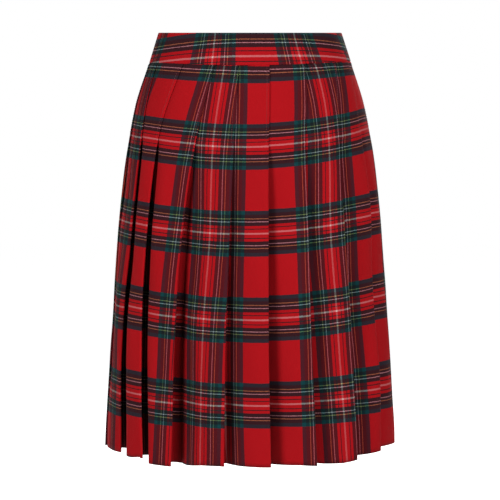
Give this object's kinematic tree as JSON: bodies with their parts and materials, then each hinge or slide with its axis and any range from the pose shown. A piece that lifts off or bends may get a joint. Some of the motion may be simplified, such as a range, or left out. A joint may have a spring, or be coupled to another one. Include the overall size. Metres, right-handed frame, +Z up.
{
  "type": "pleated skirt",
  "caption": "Knee-length pleated tartan wool skirt with a shaped waistband, filled out as worn, open at waist and hem.",
  "frame": {"origin": "middle of the waist, halfway up the waistband, where a wearer holds the skirt", "axes": "+Z up, front of the skirt towards -Y, +X towards the viewer's right when the front is seen"},
  "size_m": [0.403, 0.2991, 0.5764],
  "materials": {
    "tartan_wool": "2/2 twill wool tartan, red ground with dark, white and yellow lines, matt with a slight nap",
    "tartan_band": "the same wool tartan, folded and pressed into a band, matt",
    "dark_button": "polished dark horn look"
  },
  "bodies": {
    "root": {"skirt_front": "tartan_wool", "skirt_back_right": "tartan_wool", "skirt_back_left": "tartan_wool", "waistband_front": "tartan_band", "waistband_back_right": "tartan_band", "waistband_back_left": "tartan_band", "button": "dark_button"}
  },
  "joints": []
}
